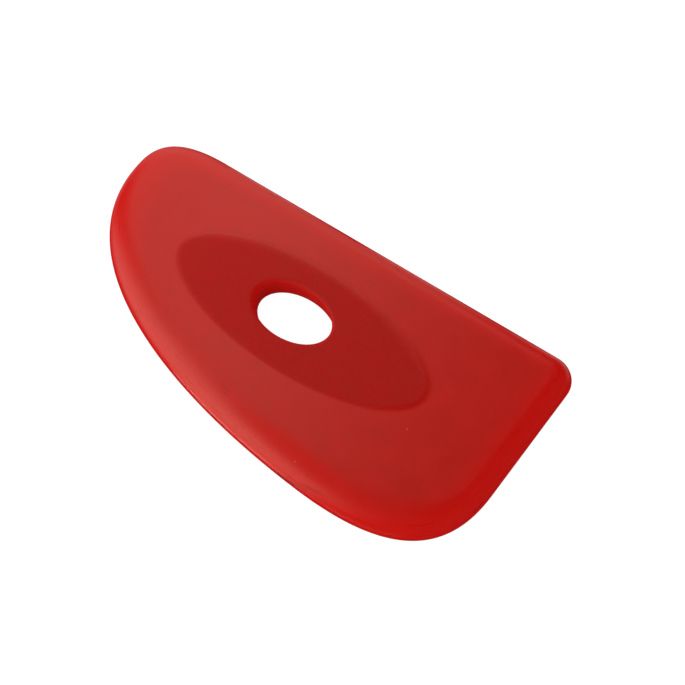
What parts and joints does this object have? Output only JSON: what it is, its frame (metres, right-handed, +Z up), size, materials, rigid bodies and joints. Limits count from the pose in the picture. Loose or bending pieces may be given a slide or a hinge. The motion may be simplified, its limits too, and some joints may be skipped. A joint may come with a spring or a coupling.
{
  "type": "pottery rib",
  "caption": "Soft one-piece hand rib for smoothing wet clay: straight edge, square end, round heel, long curved belly, raised oval grip and an oval finger hole.",
  "frame": {"origin": "under the middle of the outline's box, on the flat underside", "axes": "+X along the straight edge towards the square end, +Y towards the straight edge, +Z up out of the bevelled face with the raised grip"},
  "size_m": [0.12, 0.053, 0.005],
  "materials": {
    "red_rubber": "smooth satin, fine matte grain on the oval grip, slightly translucent"
  },
  "bodies": {
    "root": {"rib_body": "red_rubber"}
  },
  "joints": []
}
